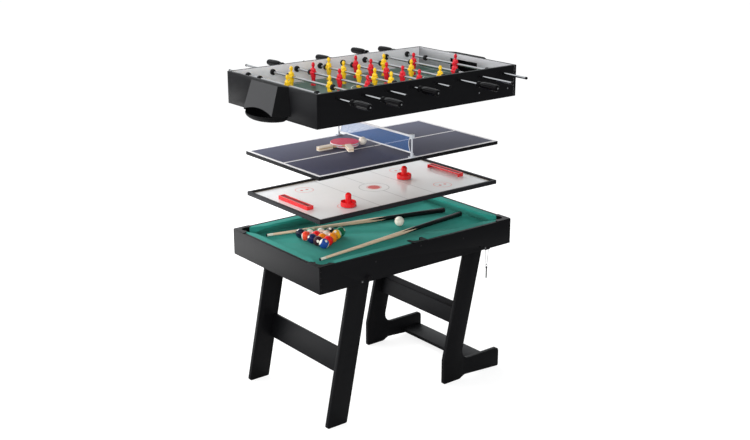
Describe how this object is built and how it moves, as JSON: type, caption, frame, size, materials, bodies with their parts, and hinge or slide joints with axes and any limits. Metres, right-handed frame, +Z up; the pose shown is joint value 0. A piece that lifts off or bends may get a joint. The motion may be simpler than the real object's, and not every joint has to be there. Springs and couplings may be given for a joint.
{
  "type": "multi game table",
  "caption": "Folding pool table on leaning legs, with a table hockey top, a table tennis top and a table football box held above it, lifted off one by one.",
  "frame": {"origin": "on the floor, under the middle of the table", "axes": "+X along the table towards the legs with long feet, +Y from the front to the back, +Z up"},
  "size_m": [1.4126, 1.2826, 1.637],
  "materials": {
    "black_board": "satin black foil on board",
    "green_cloth": "matte green cloth glued on board",
    "coloured_resin": "polished",
    "white_resin": "polished",
    "pale_maple": "varnished",
    "black_plastic": "fine grain",
    "grey_cord": "braided",
    "bright_steel": "plated",
    "white_laminate": "smooth laminate",
    "red_plastic": "moulded",
    "yellow_plastic": "moulded",
    "blue_grey_board": "satin paint on board",
    "blue_net": "knotted",
    "pale_grey_plastic": "moulded",
    "red_rubber": "rubber faced ply",
    "white_celluloid": "matt moulded",
    "green_laminate": "smooth laminate"
  },
  "bodies": {
    "table": {"apron_front": "black_board", "apron_back": "black_board", "apron_left": "black_board", "apron_right": "black_board", "pool_bed": "green_cloth", "cushion_rails": "green_cloth", "pocket_front_left": "black_plastic", "pocket_front_middle": "black_plastic", "pocket_front_right": "black_plastic", "pocket_back_left": "black_plastic", "pocket_back_middle": "black_plastic", "pocket_back_right": "black_plastic", "racked_balls": "coloured_resin", "cue_ball": "white_resin", "cue_1": "pale_maple", "cue_2": "pale_maple", "lanyard_fitting": "black_plastic", "lanyard": "grey_cord", "lock_pin": "bright_steel"},
    "left_leg_frame": {"left_leg_front": "black_board", "left_leg_back": "black_board", "left_leg_stretcher": "black_board"},
    "right_leg_frame": {"right_leg_front": "black_board", "right_leg_back": "black_board", "right_leg_stretcher": "black_board", "right_foot_board": "black_board"},
    "hockey_top": {"hockey_rim": "black_plastic", "hockey_playfield": "white_laminate"},
    "pusher_left": {"pusher_1": "red_plastic"},
    "pusher_right": {"pusher_2": "red_plastic"},
    "tennis_top": {"tennis_board": "blue_grey_board", "tennis_net": "blue_net", "net_post_front": "pale_grey_plastic", "net_post_back": "pale_grey_plastic", "paddle_lower": "red_rubber", "paddle_upper": "red_rubber", "tennis_ball": "white_celluloid"},
    "football_box": {"box_front": "black_board", "box_back": "black_board", "box_left_end": "black_board", "box_right_end": "black_board", "football_playfield": "green_laminate", "goal_hood_left": "black_plastic", "goal_hood_right": "black_plastic"},
    "yellow_keeper_carriage": {"yellow_keeper_cap": "black_plastic"},
    "yellow_keeper_spindle": {"yellow_keeper_rod": "yellow_plastic"},
    "yellow_defence_carriage": {"yellow_defence_cap": "black_plastic"},
    "yellow_defence_spindle": {"yellow_defence_rod": "yellow_plastic"},
    "red_attack_carriage": {"red_attack_cap": "black_plastic"},
    "red_attack_spindle": {"red_attack_rod": "red_plastic"},
    "yellow_midfield_carriage": {"yellow_midfield_cap": "black_plastic"},
    "yellow_midfield_spindle": {"yellow_midfield_rod": "yellow_plastic"},
    "red_midfield_carriage": {"red_midfield_cap": "black_plastic"},
    "red_midfield_spindle": {"red_midfield_rod": "red_plastic"},
    "yellow_attack_carriage": {"yellow_attack_cap": "black_plastic"},
    "yellow_attack_spindle": {"yellow_attack_rod": "yellow_plastic"},
    "red_defence_carriage": {"red_defence_cap": "black_plastic"},
    "red_defence_spindle": {"red_defence_rod": "red_plastic"},
    "red_keeper_carriage": {"red_keeper_cap": "black_plastic"},
    "red_keeper_spindle": {"red_keeper_rod": "red_plastic"}
  },
  "joints": [
    {"name": "left_leg_fold", "type": "hinge", "parent": "table", "child": "left_leg_frame", "pos_m": [-0.358, 0, 0.705], "axis": [0, -1, 0], "range_deg": [0, 95]},
    {"name": "right_leg_fold", "type": "hinge", "parent": "table", "child": "right_leg_frame", "pos_m": [0.4245, 0, 0.705], "axis": [0, -1, 0], "range_deg": [0, 90]},
    {"name": "hockey_top_lift", "type": "slide", "parent": "table", "child": "hockey_top", "axis": [0, 0, 1], "range_m": [-0.176, 0]},
    {"name": "pusher_left_slide", "type": "slide", "parent": "hockey_top", "child": "pusher_left", "axis": [1, 0, 0], "range_m": [-0.11, 0.25]},
    {"name": "pusher_right_slide", "type": "slide", "parent": "hockey_top", "child": "pusher_right", "axis": [1, 0, 0], "range_m": [-0.2, 0.19]},
    {"name": "tennis_top_lift", "type": "slide", "parent": "hockey_top", "child": "tennis_top", "axis": [0, 0, 1], "range_m": [-0.125, 0]},
    {"name": "football_box_lift", "type": "slide", "parent": "tennis_top", "child": "football_box", "axis": [0, 0, 1], "range_m": [-0.167, 0]},
    {"name": "yellow_keeper_slide", "type": "slide", "parent": "football_box", "child": "yellow_keeper_carriage", "axis": [0, 1, 0], "range_m": [-0.11, 0.09]},
    {"name": "yellow_keeper_spin", "type": "hinge", "parent": "yellow_keeper_carriage", "child": "yellow_keeper_spindle", "pos_m": [-0.497, 0, 1.585], "axis": [0, 1, 0], "continuous": true},
    {"name": "yellow_defence_slide", "type": "slide", "parent": "football_box", "child": "yellow_defence_carriage", "axis": [0, 1, 0], "range_m": [-0.1835, 0.1223]},
    {"name": "yellow_defence_spin", "type": "hinge", "parent": "yellow_defence_carriage", "child": "yellow_defence_spindle", "pos_m": [-0.355, 0, 1.585], "axis": [0, 1, 0], "continuous": true},
    {"name": "red_attack_slide", "type": "slide", "parent": "football_box", "child": "red_attack_carriage", "axis": [0, 1, 0], "range_m": [-0.0836, 0.1022]},
    {"name": "red_attack_spin", "type": "hinge", "parent": "red_attack_carriage", "child": "red_attack_spindle", "pos_m": [-0.213, 0, 1.585], "axis": [0, 1, 0], "continuous": true},
    {"name": "yellow_midfield_slide", "type": "slide", "parent": "football_box", "child": "yellow_midfield_carriage", "axis": [0, 1, 0], "range_m": [-0.0879, 0.0359]},
    {"name": "yellow_midfield_spin", "type": "hinge", "parent": "yellow_midfield_carriage", "child": "yellow_midfield_spindle", "pos_m": [-0.071, 0, 1.585], "axis": [0, 1, 0], "continuous": true},
    {"name": "red_midfield_slide", "type": "slide", "parent": "football_box", "child": "red_midfield_carriage", "axis": [0, 1, 0], "range_m": [-0.0532, 0.0706]},
    {"name": "red_midfield_spin", "type": "hinge", "parent": "red_midfield_carriage", "child": "red_midfield_spindle", "pos_m": [0.071, 0, 1.585], "axis": [0, 1, 0], "continuous": true},
    {"name": "yellow_attack_slide", "type": "slide", "parent": "football_box", "child": "yellow_attack_carriage", "axis": [0, 1, 0], "range_m": [-0.0669, 0.1189]},
    {"name": "yellow_attack_spin", "type": "hinge", "parent": "yellow_attack_carriage", "child": "yellow_attack_spindle", "pos_m": [0.213, 0, 1.585], "axis": [0, 1, 0], "continuous": true},
    {"name": "red_defence_slide", "type": "slide", "parent": "football_box", "child": "red_defence_carriage", "axis": [0, 1, 0], "range_m": [-0.1223, 0.1835]},
    {"name": "red_defence_spin", "type": "hinge", "parent": "red_defence_carriage", "child": "red_defence_spindle", "pos_m": [0.355, 0, 1.585], "axis": [0, 1, 0], "continuous": true},
    {"name": "red_keeper_slide", "type": "slide", "parent": "football_box", "child": "red_keeper_carriage", "axis": [0, 1, 0], "range_m": [-0.065, 0.135]},
    {"name": "red_keeper_spin", "type": "hinge", "parent": "red_keeper_carriage", "child": "red_keeper_spindle", "pos_m": [0.497, 0, 1.585], "axis": [0, 1, 0], "continuous": true}
  ]
}
